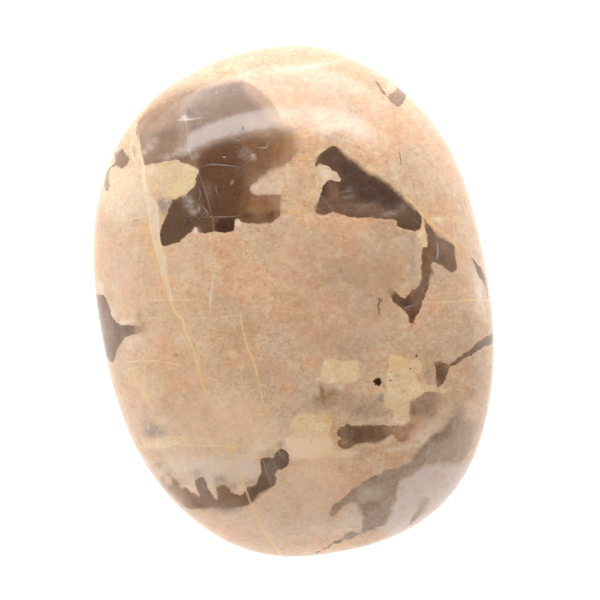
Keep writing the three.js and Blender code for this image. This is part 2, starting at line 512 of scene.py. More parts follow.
        ((331, 393), (1.2, 0.6), 1.0),
        ((318, 399), (1.0, 0.5), 0.7),
        ((330, 403), (3.0, 1.4), 0.3),
        ((341, 468.4), (0.5, 0.5), 0.5),
        ((175.5, 355.5), (0.5, 0.22), 0.8),
        ((194, 333), (0.28, 0.35), 0.6),
        ((120.5, 244), (0.28, 0.14), 0.9),
        ((403, 280), (0.4, 0.35), 0.6),
        ((340.2, 270.6), (0.18, 0.42), 0.9),
        ((180.3, 434.5), (0.2, 0.18), 0.9),
        ((247.3, 280.3), (0.25, 0.2), 0.6),
        ((277.4, 334.4), (0.16, 0.12), 1.0),
        ((139, 315), (0.5, 0.8), 0.6),
        ((152.5, 314.5), (0.4, 0.35), 0.5),
        ((307.5, 115), (0.4, 0.6), 0.35),
        ((458, 378.5), (0.3, 0.25), 0.6),
        ((413.8, 165.6), (0.16, 0.16), 0.9),
        ((283.6, 244.6), (0.14, 0.12), 0.9),
        ((311.6, 226.7), (0.2, 0.1), 0.7),
        ((323.4, 322.7), (0.14, 0.1), 0.9),
        ((314.7, 335), (0.3, 0.15), 0.6),
        ((371, 95), (0.2, 0.2), 0.7),
        ((486.4, 408.5), (0.25, 0.3), 0.8),
        ((265, 118), (1.0, 0.8), 0.2),
        ((402, 392), (0.7, 0.4), 0.4),
        ((398, 376), (0.6, 0.5), 0.35),
    ],
    # Where the feldspar is duller and browner
    "dusk": [
        ((345, 275), (5.0, 6.0), 0.5),
        ((385, 285), (4.0, 5.0), 0.55),
        ((400, 250), (2.4, 3.0), 0.3),
        ((322, 402), (3.4, 1.2), 0.7),
        ((290, 395), (3.0, 1.4), 0.35),
        ((372, 400), (2.6, 2.0), 0.35),
        ((474, 366), (3.2, 5.0), 0.8),
        ((442, 270), (1.6, 3.0), 0.4),
        ((450, 343), (3.0, 2.0), 0.4),
        ((360, 348), (3.5, 1.4), 0.45),
        ((468, 325), (1.6, 3.0), 0.4),
        ((110, 240), (1.6, 6.0), 0.3),
        ((325, 340), (4.5, 3.0), 0.5),
        ((240, 330), (2.5, 2.5), 0.3),
        ((168, 268), (1.2, 2.2), 0.35),
        ((300, 180), (2.0, 2.4), 0.3),
        ((430, 355), (2.0, 1.2), 0.35),
    ],
    # Where the feldspar is grey, over quartz that doesn't reach the surface
    "ashen": [
        ((154, 432), (1.6, 1.0), 1.2),
        ((148, 424), (1.0, 1.6), 0.4),
        ((385, 224), (3.2, 0.7), 0.35),
        ((412, 240), (0.9, 1.2), 0.5),
        ((412, 266), (0.8, 3.0), 0.35),
        ((144, 408), (0.5, 1.0), 0.35),
        ((197, 474), (1.0, 0.9), 0.7),
        ((220, 480), (1.3, 0.9), 0.8),
        ((232, 486), (1.2, 0.8), 0.6),
        ((159, 465), (1.1, 0.5), 0.7),
        ((169, 474), (0.9, 0.7), 0.6),
        ((181, 481), (1.0, 0.7), 0.3),
        ((251, 482), (1.3, 0.9), 0.6),
        ((281, 445), (0.8, 0.8), 0.8),
        ((271, 454), (1.2, 0.7), 0.6),
        ((160, 206), (0.8, 1.4), 0.3),
        ((141, 150), (0.3, 1.8), 0.5),
        ((384, 386), (0.4, 0.8), 0.7),
        ((382, 398), (0.5, 0.9), 0.7),
        ((428, 374), (0.8, 1.3), 0.75),
        ((134, 151), (0.42, 1.2), 0.8),
        ((362, 410), (2.4, 1.0), 0.6),
        ((396, 235), (1.6, 0.7), 0.5),
        ((136, 220), (0.7, 1.2), 0.5),
        ((166, 203), (0.9, 0.8), 0.4),
        ((118, 345), (1.0, 1.6), 0.3),
        ((334, 138), (2.0, 1.0), 0.4),
        ((262, 372), (4.0, 2.0), 0.2),
        ((457, 405), (1.2, 1.2), 0.4),
        ((290, 464), (2.0, 0.5), 0.35),
    ],
    # Where the feldspar is a yellower cream
    "creamy": [
        ((187, 172), (1.0, 1.2), 0.4),
        ((176, 188), (1.8, 0.8), 0.8),
        ((188, 183), (1.0, 1.0), 0.5),
        ((160, 216), (0.35, 1.2), 0.9),
        ((122, 184), (2.2, 2.4), 0.3),
        ((112, 204), (1.6, 3.0), 0.35),
    ],
}

# Larger areas with soft edges, by what they change there: amount, softness of the edge in
# millimetres, outline in pixels
AREAS = {
    "quartz_soft": [
        (0.4, 0.8, [
            (344, 138), (372, 152), (400, 178), (420, 200), (412, 214), (392, 196), (368, 180),
            (340, 162),
        ]),
    ],
    "smoke": [
        # Upper left grain: the pale far side, the dark core, its deepest spot and the thin east side
        (-0.16, 1.4, [
            (130, 128), (146, 100), (168, 80), (196, 74), (204, 84), (196, 98), (186, 112), (166, 122),
            (150, 128), (138, 134),
        ]),
        (-0.1, 1.0, [
            (136, 128), (160, 120), (186, 118), (190, 140), (184, 152), (160, 160), (142, 162), (138, 148),
        ]),
        (0.18, 0.5, [
            (200, 168), (199, 160), (205, 152), (215, 144), (224, 139), (232, 141), (240, 146),
            (244, 156), (246, 166), (243, 180), (240, 196), (238, 214), (236, 233), (212, 236),
            (196, 226), (190, 233), (182, 240), (170, 246), (158, 246), (160, 232), (168, 214),
            (172, 202), (188, 197), (197, 186), (198, 176),
        ]),
        (0.22, 0.2, [(219, 221), (230, 219), (234, 222), (233, 231), (217, 231)]),
        (-0.12, 0.4, [(252, 192), (268, 190), (284, 192), (286, 206), (270, 212), (252, 212)]),
        (-0.14, 1.0, [
            (250, 118), (268, 118), (290, 120), (306, 130), (306, 152), (290, 166), (276, 172),
            (268, 164), (272, 152), (268, 140), (256, 134), (246, 128),
        ]),
        # Boot: dark inside, paler along the bottom
        (0.1, 0.4, [
            (336, 160), (352, 166), (368, 176), (384, 188), (398, 202), (392, 210), (372, 202),
            (352, 198), (338, 190), (344, 180), (340, 172),
        ]),
        (-0.16, 0.25, [
            (328, 184), (338, 184), (342, 200), (368, 204), (392, 208), (398, 218), (381, 222),
            (350, 219), (331, 214),
        ]),
        # Bar: its thin right end
        (-0.14, 0.4, [(384, 420), (424, 416), (424, 436), (404, 446), (388, 440)]),
        # Lower right grain: the pale hollow of its bend, and its darker foot
        (-0.1, 0.5, [(358, 492), (368, 486), (380, 486), (384, 494), (376, 500), (362, 502)]),
        (0.06, 0.4, [(358, 504), (374, 502), (388, 506), (386, 520), (372, 530), (362, 528)]),
        # Toothed grain: its dark right arm
        (0.12, 0.6, [
            (244, 504), (256, 482), (262, 456), (280, 444), (294, 452), (290, 466), (280, 482),
            (264, 496),
        ]),
    ],
    "warmth": [
        (0.5, 0.8, [
            (200, 168), (214, 146), (246, 134), (266, 134), (272, 152), (256, 168), (248, 188),
            (284, 192), (286, 222), (240, 224), (236, 232), (212, 233), (204, 200),
        ]),
        (0.6, 0.8, [
            (270, 124), (288, 120), (306, 130), (306, 150), (290, 164), (262, 180), (256, 172),
            (272, 158), (276, 143),
        ]),
        (0.3, 0.6, [(415, 398), (432, 390), (444, 395), (442, 410), (432, 426), (412, 428)]),
        (0.35, 0.6, [(388, 424), (422, 418), (418, 436), (402, 446)]),
        (0.5, 0.6, [(176, 484), (200, 492), (226, 488), (244, 492), (240, 504), (214, 510), (180, 502)]),
    ],
    # Where a grain is thin and the feldspar under it shows through
    "thin": [
        (0.15, 1.6, [
            (126, 134), (140, 106), (164, 82), (204, 74), (206, 88), (184, 96), (162, 112), (146, 132),
        ]),
        (0.45, 0.8, [
            (244, 82), (262, 88), (276, 98), (286, 114), (294, 126), (282, 128), (270, 120),
            (260, 106), (248, 96),
        ]),
        (0.3, 1.2, [
            (280, 124), (292, 118), (308, 130), (308, 150), (292, 164), (272, 178), (252, 186),
            (262, 174), (280, 160), (288, 143),
        ]),
        (0.2, 0.4, [(252, 190), (268, 190), (284, 192), (286, 222), (276, 222), (272, 202)]),
        (0.1, 0.4, [(312, 197), (322, 196), (331, 214), (318, 217), (311, 212)]),
        (0.3, 0.3, [(104, 168), (110, 168), (112, 188), (106, 193), (102, 188)]),
        (0.25, 0.8, [(432, 391), (446, 392), (448, 408), (438, 424), (424, 430), (426, 416), (432, 404)]),
        (0.2, 0.5, [(392, 422), (424, 416), (422, 432), (412, 444), (398, 445), (390, 438)]),
        (0.25, 0.8, [(150, 462), (172, 478), (184, 490), (190, 508), (182, 516), (160, 500)]),
        (0.5, 0.5, [(136, 314), (152, 318), (152, 338), (138, 338), (134, 326)]),
        (0.25, 1.0, [
            (456, 424), (464, 402), (480, 412), (482, 440), (466, 466), (440, 466), (448, 446),
        ]),
    ],
    # Where the feldspar is fairer
    "fair": [
        (0.3, 3.0, [
            (122, 216), (150, 222), (196, 250), (214, 330), (222, 384), (250, 400), (300, 440),
            (352, 466), (336, 500), (350, 566), (240, 576), (160, 500), (114, 400), (106, 280),
        ]),
        (0.35, 3.0, [
            (400, 90), (440, 104), (484, 170), (506, 240), (508, 310), (476, 300), (452, 200), (410, 130),
        ]),
        (0.35, 2.0, [
            (190, 400), (250, 398), (290, 436), (346, 460), (330, 500), (280, 500), (230, 480),
            (180, 470),
        ]),
        (1.0, 0.4, [(286, 441), (308, 438), (330, 438), (332, 450), (318, 457), (292, 456)]),
    ],
    # Feldspar whitened by quartz just under it, and at the lower right also a painted reflection
    "veiled_and_reflection": [
        # Partly a painted reflection: the walls' light shining off the lower right shoulder
        (1.0, 1.4, [
            (404, 470), (424, 462), (452, 462), (470, 462), (480, 470), (470, 490), (440, 516),
            (404, 536), (388, 540), (384, 520), (394, 496), (396, 480),
        ]),
        (0.5, 0.6, [(352, 502), (360, 510), (362, 526), (350, 524), (344, 512)]),
        (0.35, 0.8, [(248, 180), (262, 180), (274, 184), (276, 192), (262, 195), (250, 194)]),
        (0.4, 0.6, [(182, 460), (214, 458), (250, 460), (252, 478), (226, 482), (190, 478)]),
    ],
    "pale": [
        (0.5, 0.15, [
            (143, 166), (146, 180), (150, 195), (157, 204), (159, 224), (160, 240), (166, 255),
            (168, 275), (172, 300), (168, 296), (160, 270), (155, 250), (150, 225), (147, 205),
            (143, 190),
        ]),
        (0.3, 1.2, [(104, 160), (120, 168), (140, 170), (146, 200), (140, 220), (104, 214), (98, 190)]),
    ],
    "creamy": [
        (0.35, 0.6, [(146, 166), (178, 164), (198, 172), (192, 188), (166, 198), (150, 192)]),
        (0.3, 1.0, [(104, 168), (140, 172), (148, 200), (156, 214), (140, 222), (104, 214), (98, 190)]),
        (0.5, 0.35, [
            (186, 165), (198, 170), (197, 177), (195, 184), (190, 190), (181, 196), (171, 200),
            (164, 197), (168, 190), (178, 184), (184, 177), (183, 169),
        ]),
        (0.45, 0.3, [
            (128, 125), (137, 122), (139, 140), (143, 160), (146, 170), (140, 172), (134, 165),
            (131, 150), (130, 138),
        ]),
    ],
    "ashen": [
        (0.6, 0.3, [(160, 198), (172, 200), (176, 206), (168, 214), (163, 216), (158, 205)]),
        (0.25, 0.6, [(318, 382), (340, 388), (384, 400), (384, 420), (340, 416), (322, 400)]),
    ],
    "dusk": [
        (0.35, 1.6, [
            (262, 236), (330, 228), (400, 236), (404, 280), (380, 300), (400, 330), (350, 350),
            (300, 340), (280, 290),
        ]),
    ],
}

# Thin lines, as strokes. Lines that cross each other are in different groups.
LINES = {
    "cream_vein": [
        [(137.5, 131, 0.03), (140, 146, 0.08), (142.5, 160, 0.12), (144, 168, 0.18), (143.7, 180, 0.18),
         (146, 190, 0.14), (150.2, 198, 0.1), (156.3, 204, 0.1), (157.3, 213, 0.08), (158, 224, 0.08),
         (158.6, 234, 0.1), (160, 243, 0.12), (162, 255, 0.12), (164, 268, 0.11), (167.6, 284, 0.11),
         (171.4, 299, 0.1), (173, 308, 0.1), (177.5, 315, 0.16), (182.5, 319.5, 0.13),
         (184, 328, 0.14), (188, 337, 0.12), (193, 350, 0.08), (200, 375, 0.04), (206, 392, 0)],
    ],
    "cream_edge": [
        [(142.5, 190, 0), (146.5, 199, 0.06), (149, 210, 0.07), (150, 222, 0.07), (152, 236, 0.09),
         (156, 250, 0.07), (160, 266, 0.06), (164, 282, 0.04), (168, 292, 0)],
        [(135, 134, 0.03), (131.3, 143, 0.08), (132, 153, 0.06), (135, 161, 0.04), (141, 166, 0)],
        [(162, 437.2, 0), (168, 436.2, 0.05), (180, 436.8, 0.04), (188, 435.4, 0)],
        [(114, 373.5, 0), (125, 370, 0.04), (136, 367.8, 0.04), (148, 366.5, 0.03), (156, 367, 0)],
        [(240.5, 308, 0), (241, 321.8, 0.12), (243, 330, 0.12), (245.5, 340, 0.08), (248, 350, 0)],
    ],
    "ochre_vein": [
        [(158, 236, 0.03), (160.5, 250, 0.06), (163, 264, 0.06), (167, 284, 0.06), (172.5, 306, 0.05),
         (183, 325, 0.06), (188, 337, 0.11), (192.5, 347, 0.12), (197, 363, 0.1), (203, 387, 0.1),
         (208, 396, 0.09), (213, 405, 0.1), (216, 418, 0.1), (220.5, 434, 0.11), (225, 444, 0.13),
         (229.8, 451.4, 0.13), (233, 459.6, 0.09), (238, 469, 0.08), (243, 482, 0.08), (246, 490, 0.08),
         (249.7, 501, 0.09), (255, 511, 0.1), (258.5, 522.5, 0.1), (262.4, 529.6, 0.12),
         (266.5, 535.7, 0.12), (271.6, 541.8, 0.14), (276, 547.5, 0.18), (281, 555, 0.2), (286, 562, 0.2)],
        [(242, 318, 0), (244, 334, 0.06), (248, 349, 0.08), (252.4, 357.3, 0.11), (255, 366.5, 0.1),
         (257.6, 377.8, 0.1), (260.6, 389, 0.1), (262.7, 401, 0.08), (268.8, 414.5, 0.06),
         (270.5, 432, 0.05), (274, 445, 0.05), (279, 452, 0.05), (282, 457, 0)],
        [(131, 372, 0.03), (136, 380, 0.08), (141, 388, 0.1), (146, 396, 0.1), (151, 407, 0.06),
         (153, 411, 0)],
        [(400, 192, 0), (409, 200, 0.07), (418, 209, 0.1), (424, 216, 0.12), (431, 223, 0.1),
         (440, 230, 0.08), (449, 237, 0.07), (455, 243.5, 0.1), (459, 252, 0)],
    ],
    "cross_vein": [
        [(141, 446.5, 0.05), (151, 447.3, 0.1), (159.4, 448, 0.12), (167.6, 447.3, 0.1),
         (173, 444.6, 0.09), (178, 443.5, 0.12), (184, 444.7, 0.1), (191, 445.4, 0.06),
         (204, 445.8, 0.05), (218, 445.8, 0.07), (226.5, 446.5, 0.12), (231.5, 448, 0.1),
         (238, 446, 0.04), (252, 444, 0.05), (262, 442.5, 0.05), (272, 440.5, 0.03), (284, 438, 0)],
        [(122, 363, 0), (133, 361.5, 0.07), (147, 360.6, 0.07), (161, 361.6, 0.04), (173, 363.6, 0.06),
         (184, 364.7, 0.04), (198, 360, 0.03), (217, 357.5, 0)],
        [(143, 299.7, 0), (152, 300.2, 0.05), (171, 300, 0.05), (190, 299.5, 0.04), (208, 299.2, 0)],
        [(144, 318, 0), (155, 318, 0.04), (172, 317.4, 0.03), (200, 318, 0.03), (215, 318.5, 0.03),
         (232, 315.5, 0.04), (240, 316, 0)],
        [(429, 218.3, 0), (434, 218.5, 0.08), (441, 218.8, 0.06), (452, 220.6, 0.04), (472, 225, 0)],
        [(425, 302.3, 0), (441, 302.2, 0.05), (455, 301.5, 0.04), (468, 300.2, 0.07), (486, 300.2, 0.05),
         (492, 300.5, 0)],
        [(112, 218.5, 0), (125, 219.5, 0.04), (140, 217.5, 0.05), (148, 215, 0)],
        [(233, 456.5, 0), (245, 456, 0.03), (260, 455, 0)],
    ],
    "pale_hair": [
        [(184.6, 100, 0), (184.8, 112, 0.03), (185.5, 119, 0.14), (187, 128, 0.05), (188, 147, 0.04),
         (190.5, 156, 0.06), (198, 171, 0.04), (204.5, 188, 0.04), (208.4, 202, 0.04), (212.4, 220, 0.04),
         (213.8, 234, 0.04), (214, 252, 0)],
        [(240.5, 230, 0), (247, 240, 0.03), (254.5, 252, 0)],
        [(317, 192, 0), (323, 198, 0.03), (328.3, 204.3, 0.04), (333, 214, 0)],
        [(398.5, 107, 0), (401.5, 117, 0.05), (402.3, 132, 0.06), (401, 148, 0.04), (402, 168, 0.03),
         (404, 192, 0)],
        [(262.6, 449, 0), (263, 460, 0.05), (266.8, 471.6, 0.05), (271, 483, 0.04), (274, 490, 0)],
        [(351.6, 425, 0), (351.9, 434, 0.03), (351.9, 447, 0)],
        [(389, 443, 0), (400, 443.8, 0.04), (411, 443.3, 0.05), (427.6, 443.8, 0.04), (442, 445, 0.03),
         (462, 447, 0)],
        [(246, 490, 0), (248, 495, 0.07), (250.5, 503, 0)],
        [(216.5, 270, 0), (221.6, 281, 0.03), (226, 292, 0)],
        [(248.4, 345, 0), (260.6, 337, 0.03), (286, 326.7, 0.03), (303, 322, 0)],
        [(336, 196, 0), (342, 192, 0.04), (350, 191, 0.04), (357, 194, 0)],
        [(410, 216, 0), (416, 221, 0.03), (421, 228, 0)],
    ],
    # Real scratches, drawn pale as a painted glint of light caught in them
    "scratch_glint": [
        [(216.3, 261.5, 0), (213.5, 275, 0.09), (211.9, 285, 0.12), (210.9, 293.3, 0.13),
         (210.4, 301.4, 0.1), (209.9, 316, 0)],
        [(433.7, 239, 0), (437.2, 243, 0.04), (437.9, 251.2, 0.05), (437.2, 257.3, 0.04), (434.4, 262, 0)],
        [(176, 120.6, 0), (181, 119.8, 0.08), (190, 119.4, 0.1), (198, 118, 0.06), (207, 117, 0)],
        [(255, 147, 0), (262, 147.8, 0.04), (267, 147, 0.04), (268, 139, 0)],
        [(384, 213.5, 0), (391, 213, 0.04), (398, 217, 0)],
        [(241, 404.3, 0), (250.4, 411.4, 0.03), (258.6, 419.6, 0.03), (265, 428, 0)],
        [(397, 311.6, 0), (407, 307.3, 0.04), (421.4, 302.8, 0)],
        [(351, 518.2, 0), (354, 519.3, 0.04), (357, 518.8, 0)],
        [(199, 168, 0), (210, 164.5, 0.03), (228, 165.5, 0.03), (243, 168, 0)],
        [(217, 182, 0), (216, 190, 0.03), (221, 199, 0)],
        [(199, 200, 0), (204, 208, 0.03), (210, 216, 0.03), (216, 228, 0)],
        [(196, 218, 0), (214, 217, 0.03), (232, 216.5, 0.03), (246, 215, 0)],
        [(195, 206, 0), (200.5, 195, 0.03), (197, 184, 0)],
    ],
    "crack": [
        [(399.6, 151, 0), (400, 156, 0.06), (401, 163, 0.04), (401.3, 169, 0)],
        [(374.5, 298.6, 0), (378, 298.8, 0.04), (382.6, 298.2, 0.04), (384, 298.4, 0)],
        [(380.4, 299.5, 0.05), (379, 303.5, 0.08), (377.4, 306.5, 0.05), (379.4, 308.4, 0.1),
         (378.8, 312, 0.06), (379.4, 314.2, 0.06), (382.4, 315, 0)],
        [(411.2, 323.5, 0), (411.5, 327, 0.04), (411.7, 330, 0)],
        [(355.5, 145.2, 0), (358.5, 147, 0.07), (361.5, 148.7, 0)],
        [(297, 419.3, 0), (300, 419.2, 0.04), (303, 419, 0)],
        [(312.5, 436.5, 0), (311, 441, 0.04), (309.5, 445, 0)],
    ],
}

# Small hollows, stained dark: middle in pixels, radius and depth in millimetres
PITS = [
    ((377.6, 382), 0.62, 0.14),
    ((224.3, 155.6), 0.19, 0.12),
    ((234.5, 195.9), 0.13, 0.08),
    ((242.7, 128.5), 0.11, 0.05),
    ((238.6, 139.2), 0.08, 0.03),
    ((416.5, 355.8), 0.15, 0.05),
    ((414.5, 323.4), 0.1, 0.04),
    ((410.2, 368.8), 0.12, 0.04),
    ((390.6, 380.6), 0.12, 0.04),
    ((390.8, 372.4), 0.1, 0.04),
]
PIT_REACH = 0.35  # how far round a hollow the surface is cut finer


def linear(hex_colour):
    """The linear colour of an sRGB hex value, with alpha."""
    channels = [int(hex_colour[i : i + 2], 16) / 255 for i in (1, 3, 5)]
    return [c / 12.92 if c <= 0.04045 else ((c + 0.055) / 1.055) ** 2.4 for c in channels] + [1.0]


# Shape of the stone


def reach(points):
    """How far out each point lies: 1 is on the oval stone, before the swells and the flat spot."""
    across, along, up = np.abs(points / (np.array([WIDTH, LENGTH, THICKNESS]) / 2)).T
    rim = across**OUTLINE_FULLNESS + along**OUTLINE_FULLNESS
    return (rim ** (DOME_FULLNESS / OUTLINE_FULLNESS) + up**DOME_FULLNESS) ** (1 / DOME_FULLNESS)


def facing(heading, tilt):
    """The unit vector of a heading and a tilt in degrees."""
    turn, rise = math.radians(heading), math.radians(tilt)
    return np.array([math.cos(rise) * math.cos(turn), math.cos(rise) * math.sin(turn), math.sin(rise)])


def surface(directions):
    """The stone's surface in the direction of each unit vector."""
    points = directions * np.array([WIDTH, LENGTH, THICKNESS]) / 2
    points /= reach(points)[:, None]
    swell = sum(
        rise * np.exp((directions @ facing(heading, tilt) - 1) / spread**2)
        for heading, tilt, rise, spread in SWELLS
    )
    length = np.linalg.norm(points, axis=1)
    points *= ((length + swell) / length)[:, None]
    spot = SPOT_DEPTH - THICKNESS / 2
    near = np.maximum(SPOT_EDGE - np.abs(points[:, 2] - spot), 0) / SPOT_EDGE
    points[:, 2] = np.maximum(points[:, 2], spot) + near**2 * SPOT_EDGE / 4
    return points


def coordinates(bm):
    return np.array([v.co for v in bm.verts])


def stone_bmesh():
    """A box cut into squares, blown up into a ball and then into the stone, in place."""
    bm = bmesh.new()
    bmesh.ops.create_cube(bm, size=2)
    underside = [v for v in bm.verts if v.co.z < 0]
    bmesh.ops.translate(bm, verts=underside, vec=(0, 0, UNDERSIDE + 1))
    level = [e for e in bm.edges if e.verts[0].co.z == e.verts[1].co.z]
    bmesh.ops.subdivide_edges(bm, edges=level, cuts=FACE_SQUARES - 1, use_grid_fill=True)
    upright = [e for e in bm.edges if e.verts[0].co.z != e.verts[1].co.z]
    bmesh.ops.subdivide_edges(bm, edges=upright, cuts=SIDE_SQUARES - 1, use_grid_fill=True)
    corners = np.tan(coordinates(bm) * math.pi / 4)
    points = surface(corners / np.linalg.norm(corners, axis=1)[:, None])
    low, high = (np.array(corner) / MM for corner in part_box("pebble"))
    points[:, :2] += ((low + high - points.min(0) - points.max(0)) / 2)[:2]
    points[:, 2] += low[2] - points[:, 2].min()
    for vert, point in zip(bm.verts, points):
        vert.co = point
    return bm


# Drawing on the stone. Every place is a point in plan, in the stone's own millimetres.

FAR = 3.0  # a distance past which a marking has no effect
TINY = 1e-12  # keeps a step of no length from dividing by zero
LINE_REACH = (0.5, 0.85)  # how far from a thin line its width is still told
DEEP_LINES = ("cream_vein", "ochre_vein", "cross_vein")  # the lines that go on below the rim
HAIR_DEPTH = 1.5  # how far below the rim the other lines end
GRAIN_SLANT = np.array([0.45, -0.3])  # how far the grains lean for each millimetre of depth
GRAIN_WANDER = 0.35  # how far they wander, for each millimetre of depth
WANDER_SIZE = 7.0  # over how many millimetres that changes
USUAL_SOFTNESS = 0.06  # of a grain's edge
USUAL_SMOKE = 0.4  # of the grains that GRAIN_SMOKE doesn't name
NOISE_SEED = 1  # not 0, which would draw another stone on each run

# The underside's own markings, which a random field varies
CLOUD_SIZE = 5.0  # over how many millimetres the field changes
UNDER_BLEND = (1.0, 7.0)  # how far below the rim they start and are full
UNDER_WAVE = 2.5  # how far that goes up and down
UNDER_DRIFT = 1.2  # how far they are moved sideways
UNDER_SMOKE_RANGE = 0.5  # how much the smoke of their quartz varies
UNDER_WARMTH = 0.3  # how amber it usually is
UNDER_WARMTH_RANGE = 0.6  # how much that varies

# A hollow's shape, in shares of its radius
STAR_JAGS = 0.5  # how far the jags of its edge reach
JAGS_START = 0.3  # where they start
JAGS_END = 2  # where they end
STAR_SIZE = 0.25  # how wide a jag is, in millimetres
BOWL_SHARPNESS = 1.5  # 1 is a round bowl, more is more pointed
PIT_CUTS = (1.0, 0.6)  # the share of PIT_REACH in which each round of cuts is made


def smoothstep(low, high, value):
    t = np.clip((value - low) / (high - low), 0, 1)
    return t * t * (3 - 2 * t)


def on_stone(pixels):
    """Where points of the photograph lie in plan, at the height of the rim."""
    right, up = (np.array(pixels, float) - STONE_MIDDLE).T / PX_PER_MM * np.array([[1], [-1]])
    return np.stack(
        [right * math.cos(LEAN) + up * math.sin(LEAN), up * math.cos(LEAN) - right * math.sin(LEAN)], axis=1
    )


def camera_foot():
    """The point in plan that the middle of the photograph shows."""
    return on_stone([(PHOTO_SIDE / 2, PHOTO_SIDE / 2)])[0]


def wander(points, size):
    """A smooth random vector field, from -1 to 1, that changes over the given size."""
    noise.seed_set(NOISE_SEED)
    return np.array([noise.noise_vector(Vector(point) / size) for point in points])


def plan(points):
    """Where the face's markings are read for each point of the surface.

    Over the rim it is where the camera sees the point. Under the rim the grains slant and wander
    as they go down, so the underside isn't a copy of the face.
    """
    rise = points[:, 2] - RIM_HEIGHT
    sight = CAMERA_HEIGHT / (CAMERA_HEIGHT - np.maximum(rise, 0))
    foot = camera_foot()
    places = foot + (points[:, :2] - foot) * sight[:, None]
    depth = 2 * np.maximum(-rise, 0)
    return places + depth[:, None] * (GRAIN_SLANT + GRAIN_WANDER * wander(points, WANDER_SIZE)[:, :2])


def smooth_curve(points, closed, steps=4):
    """A Catmull-Rom curve through the points."""
    points = np.array(points, float)
    if closed:
        padded = np.concatenate([points[-1:], points, points[:2]])
    else:
        padded = np.concatenate([points[:1], points, points[-1:]])
    before, start, end, after = (padded[i : len(padded) - 3 + i, None] for i in range(4))
    t = (np.arange(steps) / steps)[None, :, None]
    curve = 0.5 * (
        2 * start
        + (end - before) * t
        + (2 * before - 5 * start + 4 * end - after) * t**2
        + (3 * start - before - 3 * end + after) * t**3
    )
    curve = curve.reshape(-1, points.shape[1])
    return curve if closed else np.concatenate([curve, points[-1:]])


def near_box(places, outline):
    """Which places lie within FAR of the outline's box."""
    low, high = outline.min(0) - FAR, outline.max(0) + FAR
    return np.flatnonzero(((places >= low) & (places <= high)).all(1))


def depth_inside(places, outlines):
    """How far inside the closed outlines each place lies, in millimetres; outside it is below 0."""
    depth = np.full(len(places), -FAR)
    for points in outlines:
        outline = smooth_curve(points, closed=True)
        close = near_box(places, outline)
        x, y = places[close].T
        distance = np.full(len(close), FAR)
        inside = np.zeros(len(close), bool)
        for (ax, ay), (bx, by) in zip(outline, np.roll(outline, -1, axis=0)):
            dx, dy = bx - ax, by - ay
            t = np.clip(((x - ax) * dx + (y - ay) * dy) / max(dx * dx + dy * dy, TINY), 0, 1)
            distance = np.minimum(distance, np.hypot(x - ax - t * dx, y - ay - t * dy))
            if ay != by:
                inside ^= ((ay > y) != (by > y)) & (x < (y - ay) / dy * dx + ax)
        depth[close] = np.maximum(depth[close], np.where(inside, distance, -distance))
    return depth


def nearest_stroke(places, strokes):
    """For each place, its signed distance from the nearest stroke and the stroke's half width there."""
    side = np.full(len(places), FAR)
    half_width = np.zeros(len(places))
    for stroke in strokes:
        stroke = np.array(stroke)
        line = smooth_curve(np.column_stack([on_stone(stroke[:, :2]), stroke[:, 2]]), closed=False)
        close = near_box(places, line[:, :2])
        x, y = places[close].T
        for (ax, ay, start), (bx, by, end) in zip(line[:-1], line[1:]):
            dx, dy = bx - ax, by - ay
            t = np.clip(((x - ax) * dx + (y - ay) * dy) / (dx * dx + dy * dy), 0, 1)
            distance = np.hypot(x - ax - t * dx, y - ay - t * dy)
            closer = distance < np.abs(side[close])
            turn = np.where(dx * (y - ay) - dy * (x - ax) < 0, -1, 1)
            side[close[closer]] = (distance * turn)[closer]
            half_width[close[closer]] = (start + t * (end - start))[closer]
    return side, half_width


def spotted(places, spots):
    """The sum of soft spots: each is its strength at its middle, and a seventh of that at its radii."""
    total = np.zeros(len(places))
    for middle, radii, strength in spots:
        gap = (places - on_stone([middle])[0]) / np.array(radii) * math.sqrt(2)
        total += strength * np.exp(-(gap**2).sum(1))
    return total


def shaded(places, areas):
    """The sum of soft-edged areas."""
    total = np.zeros(len(places))
    for amount, softness, outline in areas:
        total += amount * smoothstep(-softness, softness, depth_inside(places, [on_stone(outline)]))
    return total


def hollow(points):
    """How deep the small hollows are at each point: as a share of each one's depth, and in millimetres."""
    places = plan(points)
    on_face = points[:, 2] > RIM_HEIGHT
    jags = STAR_JAGS * wander(points, STAR_SIZE)[:, 0]
    share = np.zeros(len(points))
    depth = np.zeros(len(points))
    for middle, radius, deepest in PITS:
        gap = np.linalg.norm(places - on_stone([middle])[0], axis=1) / radius
        bowl = np.clip(1 - gap**2 + jags * (gap > JAGS_START), 0, 1) * (gap < JAGS_END) * on_face
        share = np.maximum(share, bowl)
        depth = np.maximum(depth, deepest * bowl**BOWL_SHARPNESS)
    return share, depth


